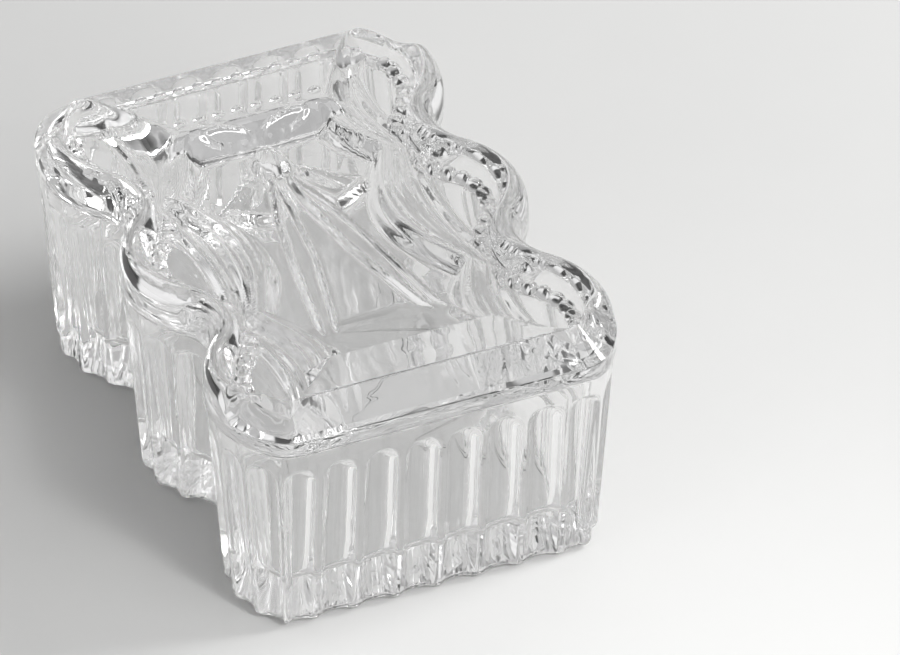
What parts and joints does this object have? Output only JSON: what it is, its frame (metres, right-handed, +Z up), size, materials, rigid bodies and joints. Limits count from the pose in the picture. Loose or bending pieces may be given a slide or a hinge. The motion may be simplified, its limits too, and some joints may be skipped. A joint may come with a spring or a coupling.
{
  "type": "glass casket box",
  "caption": "Small lidded keepsake casket in clear pressed glass: a fluted, lobed base with a thick foot, and a lift-off lid with a sunk panel and a moulded ribbon bow.",
  "frame": {"origin": "centre of the foot, on the surface the box stands on", "axes": "+Z up, -Y towards the straight front side, +X to the right seen from the front, Y along the long sides"},
  "size_m": [0.08, 0.115, 0.0519],
  "materials": {
    "base_glass": "fire-polished clear pressed crystal",
    "lid_glass": "fire-polished clear pressed crystal"
  },
  "bodies": {
    "base": {"base": "base_glass"},
    "lid": {"lid": "lid_glass"}
  },
  "joints": [
    {"name": "lid_lift", "type": "slide", "parent": "base", "child": "lid", "axis": [0, 0, 1], "range_m": [0, 0.06]}
  ]
}
